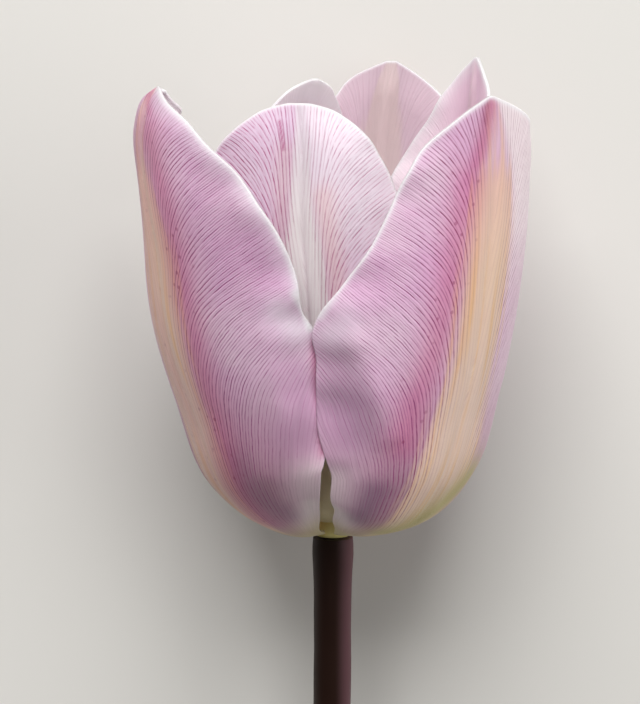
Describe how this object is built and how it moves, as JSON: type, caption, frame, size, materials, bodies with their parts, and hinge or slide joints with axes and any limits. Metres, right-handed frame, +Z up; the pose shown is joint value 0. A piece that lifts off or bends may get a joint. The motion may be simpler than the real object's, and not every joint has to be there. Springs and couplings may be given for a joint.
{
  "type": "cut tulip flower",
  "caption": "Silver cloud tulip bloom, lilac with cream midrib bands and pale rims, on a bare dark cut stem, lying on its back; a cut flower for vases, bunches and table scenes.",
  "frame": {"origin": "middle of the flower's bounding box, on the table plane that it lies on", "axes": "+Z up from the table, +Y along the flower from the cut end to the tip of the bloom, +X to the right when the front is seen from above with the tip at the top"},
  "size_m": [0.056, 0.207, 0.0524],
  "materials": {
    "outer_tepal": "satin petal skin, lilac with fine darker veins, a cream midrib band and pale rims",
    "inner_tepal": "satin petal skin, pale lilac with a whitish midrib and an olive-yellow foot",
    "stem": "smooth waxy stalk, dark purple-brown with a green cut end",
    "receptacle": "smooth pale green-white plant tissue",
    "ovary": "smooth pale green plant tissue",
    "stigma": "velvety cream",
    "anther": "dusty dark violet"
  },
  "bodies": {
    "root": {"outer_tepal_left": "outer_tepal", "outer_tepal_right": "outer_tepal", "outer_tepal_back": "outer_tepal", "inner_tepal_front": "inner_tepal", "inner_tepal_right": "inner_tepal", "inner_tepal_left": "inner_tepal", "stem": "stem", "receptacle": "receptacle", "ovary": "ovary", "stigma": "stigma", "anther_1": "anther", "anther_2": "anther", "anther_3": "anther", "anther_4": "anther", "anther_5": "anther", "anther_6": "anther"}
  },
  "joints": []
}
